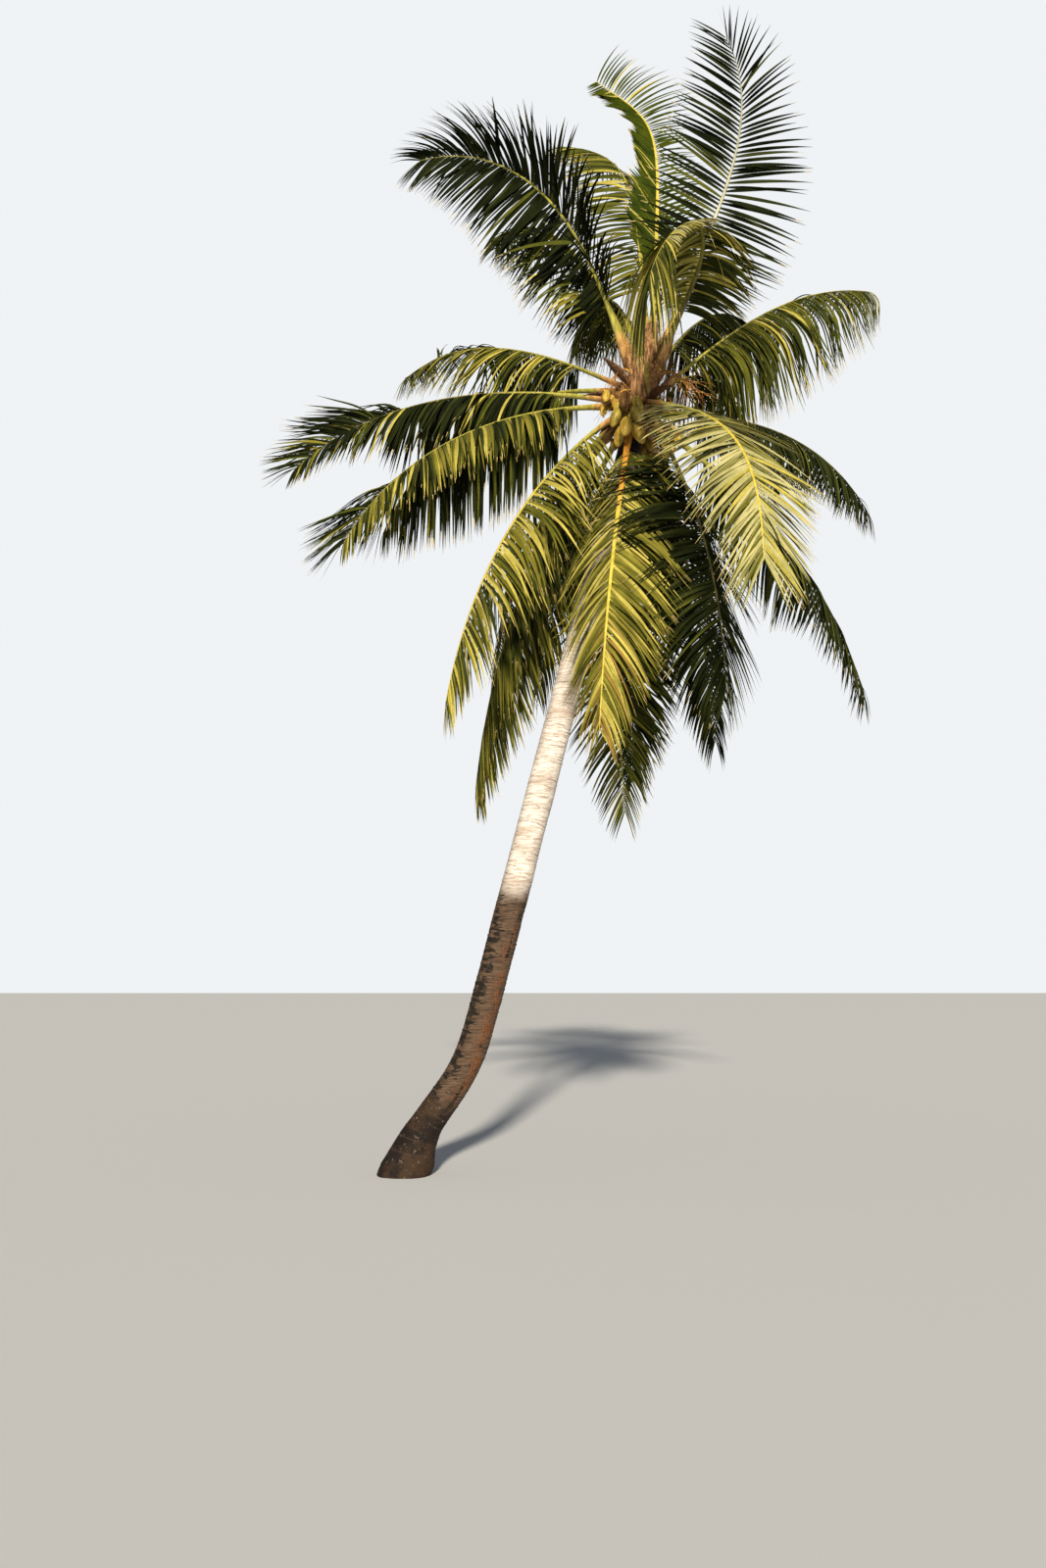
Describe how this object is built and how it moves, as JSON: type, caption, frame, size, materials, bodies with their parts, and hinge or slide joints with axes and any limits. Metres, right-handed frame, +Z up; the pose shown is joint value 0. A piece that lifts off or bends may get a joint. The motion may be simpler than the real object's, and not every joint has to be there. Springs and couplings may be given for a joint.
{
  "type": "coconut palm tree",
  "caption": "Coconut palm with a leaning ringed trunk, flared foot, leaf-base heart and a full crown of long arching pinnate fronds.",
  "frame": {"origin": "centre of the flat cut under the trunk, at ground level", "axes": "+Z straight up, +X the way the trunk leans, +Y towards the back of the crown"},
  "size_m": [6.8217, 5.6618, 11.9651],
  "materials": {
    "trunk_bark": "rough ringed bark",
    "heart_fibre": "coarse fibre",
    "frond_leaf": "satin leaf"
  },
  "bodies": {
    "root": {"trunk": "trunk_bark", "crown_heart": "heart_fibre", "frond_tall_right": "frond_leaf", "frond_over_front_inner": "frond_leaf", "frond_over_front_outer": "frond_leaf", "frond_tall_left": "frond_leaf", "frond_front_mid": "frond_leaf", "frond_front_right": "frond_leaf", "frond_front_left": "frond_leaf", "frond_spear_inner": "frond_leaf", "frond_spear_outer": "frond_leaf", "frond_upright_back": "frond_leaf", "frond_left_high": "frond_leaf", "frond_left_mid": "frond_leaf", "frond_left_low": "frond_leaf", "frond_right_high": "frond_leaf", "frond_right_mid": "frond_leaf", "frond_right_low": "frond_leaf", "frond_low_right": "frond_leaf", "frond_hanging": "frond_leaf", "frond_low_left": "frond_leaf", "frond_right_curled_inner": "frond_leaf", "frond_right_curled_outer": "frond_leaf", "frond_right_back": "frond_leaf", "frond_back_high_inner": "frond_leaf", "frond_back_high_outer": "frond_leaf", "frond_back_left_inner": "frond_leaf", "frond_back_left_outer": "frond_leaf", "frond_back_mid_inner": "frond_leaf", "frond_back_mid_outer": "frond_leaf", "frond_back_lower_inner": "frond_leaf", "frond_back_lower_outer": "frond_leaf", "frond_back_low": "frond_leaf", "frond_back_right": "frond_leaf", "frond_back_hanging": "frond_leaf", "frond_back_steep": "frond_leaf"}
  },
  "joints": []
}
